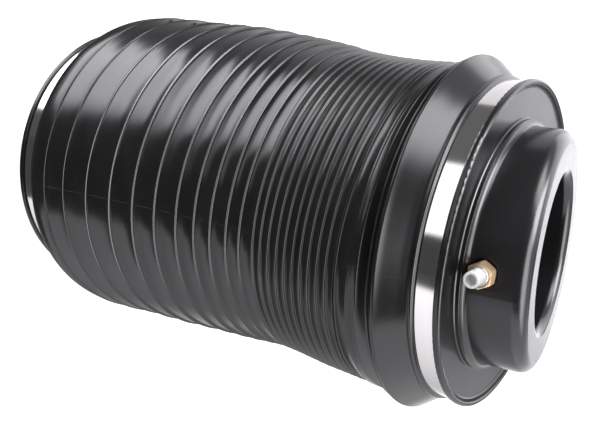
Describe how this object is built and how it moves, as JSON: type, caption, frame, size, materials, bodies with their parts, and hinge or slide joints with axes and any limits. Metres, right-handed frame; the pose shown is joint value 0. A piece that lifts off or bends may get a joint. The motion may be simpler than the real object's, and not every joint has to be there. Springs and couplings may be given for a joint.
{
  "type": "air suspension spring",
  "caption": "Round air spring: a rolling sleeve between a piston and a black top cap with a leaning recessed boss, in a convoluted dust boot held by steel bands, with a plugged air fitting.",
  "frame": {"origin": "centre of the base face that rests on the lower suspension arm", "axes": "+Z along the spring's axis towards the top cap, +X the way the air fitting points"},
  "size_m": [0.1904, 0.1904, 0.307],
  "materials": {
    "moulding": "black glass-filled moulding, satin",
    "boot_rubber": "black moulded rubber, satin",
    "sleeve_rubber": "cord-reinforced rubber, matt",
    "seal_rubber": "smooth",
    "band_steel": "polished stainless strip",
    "crimp_alloy": "crimped, satin",
    "piston_alloy": "as turned, satin",
    "insert_steel": "zinc plated",
    "spring_steel": "drawn wire",
    "collet_steel": "stamped strip",
    "fitting_brass": "turned, bright",
    "stop_foam": "cellular polyurethane, matt",
    "white_plastic": "natural white, slightly glossy"
  },
  "bodies": {
    "piston_unit": {"base_plate": "moulding", "mounting_insert": "insert_steel", "rolling_piston": "piston_alloy", "base_seal": "seal_rubber", "piston_head": "piston_alloy", "head_seal": "seal_rubber", "tie_bolt": "insert_steel", "bump_stop_cup": "insert_steel", "bump_stop": "stop_foam", "lower_crimp_ring": "crimp_alloy", "lower_boot_band": "band_steel"},
    "cap_unit": {"top_cap": "moulding", "upper_boot_band": "band_steel", "upper_crimp_ring": "crimp_alloy", "dust_boot": "boot_rubber", "air_sleeve": "sleeve_rubber", "fitting_body": "fitting_brass", "fitting_seal": "seal_rubber", "valve_retainer": "fitting_brass", "valve_spring": "spring_steel", "tube_seal": "seal_rubber", "grip_collet": "collet_steel"},
    "valve": {"valve_poppet": "white_plastic"},
    "plug": {"transport_plug": "white_plastic"}
  },
  "joints": [
    {"name": "suspension_travel", "type": "slide", "parent": "piston_unit", "child": "cap_unit", "axis": [0, 0, -1], "range_m": [-0.03, 0.05], "stiffness_N_per_m": 20000, "deforming": ["dust_boot", "air_sleeve"]},
    {"name": "valve_stroke", "type": "slide", "parent": "cap_unit", "child": "valve", "axis": [-1, 0, 0], "range_m": [0, 0.0012], "stiffness_N_per_m": 300, "deforming": ["valve_spring"]},
    {"name": "plug_pull", "type": "slide", "parent": "cap_unit", "child": "plug", "axis": [1, 0, 0], "range_m": [0, 0.02]}
  ]
}
